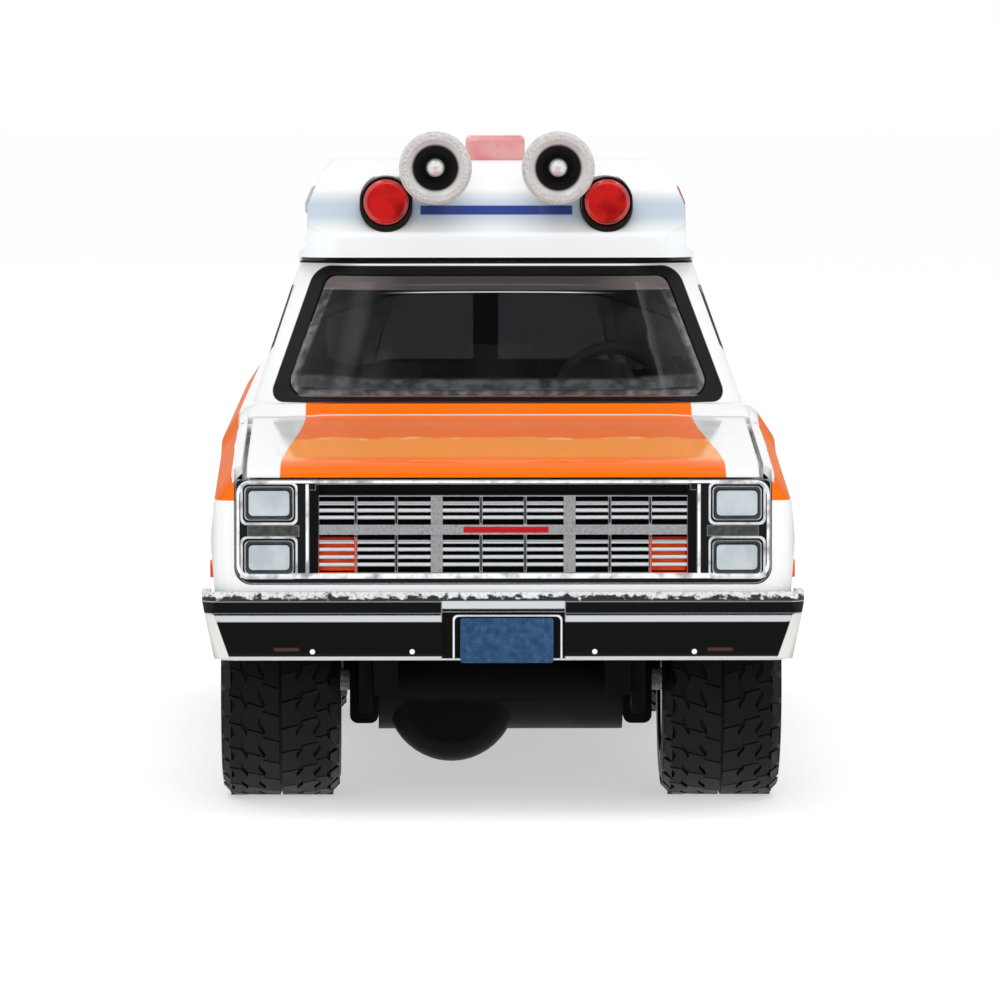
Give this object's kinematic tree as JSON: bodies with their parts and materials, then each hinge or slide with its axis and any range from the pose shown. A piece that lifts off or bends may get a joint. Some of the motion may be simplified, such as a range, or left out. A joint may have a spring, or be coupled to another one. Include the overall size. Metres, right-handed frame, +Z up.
{
  "type": "die-cast toy ambulance",
  "caption": "Small die-cast model of a square-bodied four-wheel-drive ambulance wagon with opening hood, rolling axles, raised roof cap, siren horns and lamps.",
  "frame": {"origin": "centre of the bounding box at the ground, under the tyres", "axes": "-Y towards the front bumper, +X towards the vehicle's left side, +Z up"},
  "size_m": [0.0318, 0.087, 0.0358],
  "materials": {
    "body_white": "gloss",
    "window_clear": "gloss",
    "chrome_trim": "polished",
    "headlamp_glass": "gloss",
    "amber_lens": "gloss",
    "plate_blue": "gloss",
    "red_lens": "gloss",
    "clear_lens": "gloss",
    "black_plastic": "satin",
    "silver_plastic": "satin",
    "steel_pin": "satin",
    "tyre_rubber": "matte"
  },
  "bodies": {
    "body": {"body_shell": "body_white", "roof_cap": "body_white", "window_moulding": "window_clear", "grille_insert": "chrome_trim", "headlamp_lenses": "headlamp_glass", "parking_lamps": "amber_lens", "front_bumper": "chrome_trim", "front_plate": "plate_blue", "rear_bumper": "chrome_trim", "side_marker_left": "amber_lens", "side_marker_right": "amber_lens", "tail_lamp_left": "red_lens", "tail_lamp_right": "red_lens", "roof_lamp_bezel_left": "black_plastic", "roof_lamp_bezel_right": "black_plastic", "roof_lamp_lens_left": "red_lens", "roof_lamp_lens_right": "red_lens", "siren_horn_left": "silver_plastic", "siren_horn_right": "silver_plastic", "roof_side_lamp_left": "red_lens", "roof_side_lamp_right": "clear_lens", "roof_beacon": "red_lens", "interior_tub": "black_plastic", "dashboard": "black_plastic", "steering_wheel": "black_plastic", "chassis_base": "black_plastic", "base_rivets": "body_white", "engine_block": "silver_plastic"},
    "hood": {"hood": "body_white"},
    "front_axle": {"front_axle_pin": "steel_pin", "front_tyre_left": "tyre_rubber", "front_rim_left": "chrome_trim", "front_tyre_right": "tyre_rubber", "front_rim_right": "chrome_trim"},
    "rear_axle": {"rear_axle_pin": "steel_pin", "rear_tyre_left": "tyre_rubber", "rear_rim_left": "chrome_trim", "rear_tyre_right": "tyre_rubber", "rear_rim_right": "chrome_trim"}
  },
  "joints": [
    {"name": "front_axle_roll", "type": "hinge", "parent": "body", "child": "front_axle", "pos_m": [0, -0.03, 0.0063], "axis": [1, 0, 0], "continuous": true},
    {"name": "rear_axle_roll", "type": "hinge", "parent": "body", "child": "rear_axle", "pos_m": [0, 0.0214, 0.0063], "axis": [1, 0, 0], "continuous": true},
    {"name": "hood_hinge", "type": "hinge", "parent": "body", "child": "hood", "pos_m": [0, -0.0255, 0.01964], "axis": [-1, 0, 0], "range_deg": [0, 50]}
  ]
}
